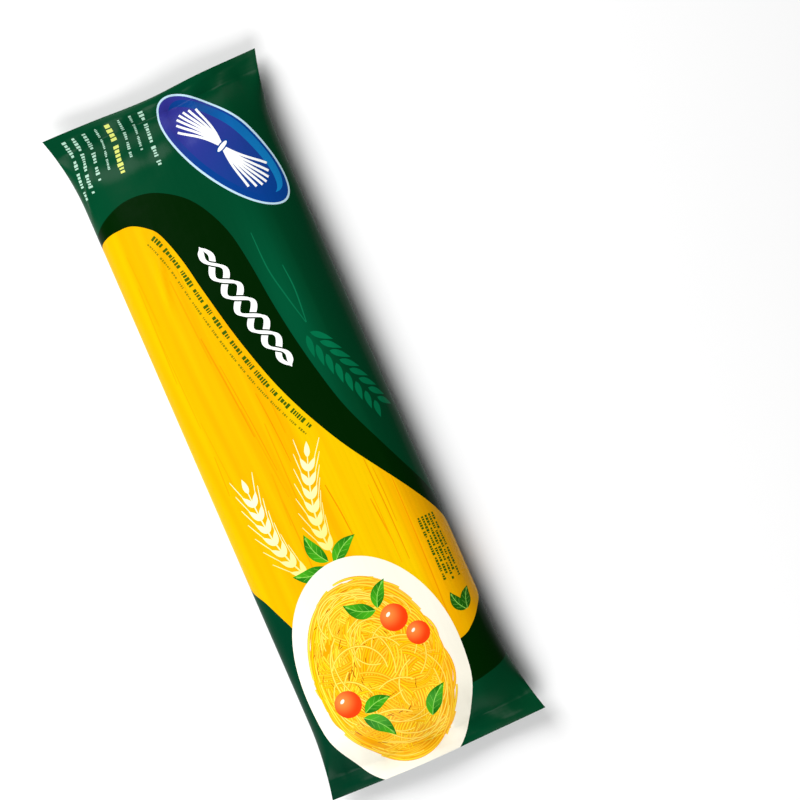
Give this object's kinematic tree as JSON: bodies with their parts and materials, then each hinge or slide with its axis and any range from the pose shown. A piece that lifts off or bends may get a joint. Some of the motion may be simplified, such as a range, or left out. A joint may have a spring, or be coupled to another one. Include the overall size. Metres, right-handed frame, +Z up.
{
  "type": "pasta packet",
  "caption": "Long film packet of spaghetti, heat-sealed flat at both ends, with a clear curved window, lying on its back.",
  "frame": {"origin": "middle of the packet on the surface it lies on", "axes": "+X across the front from left to right, +Y along the packet towards its top end, +Z up out of the printed front"},
  "size_m": [0.0948, 0.295, 0.0262],
  "materials": {
    "printed_film": "smooth printed film in dark green, softly glossy",
    "window_film": "clear yellow film, glossy",
    "spaghetti": "dry pasta, faintly rough"
  },
  "bodies": {
    "root": {"packet": "printed_film"}
  },
  "joints": []
}
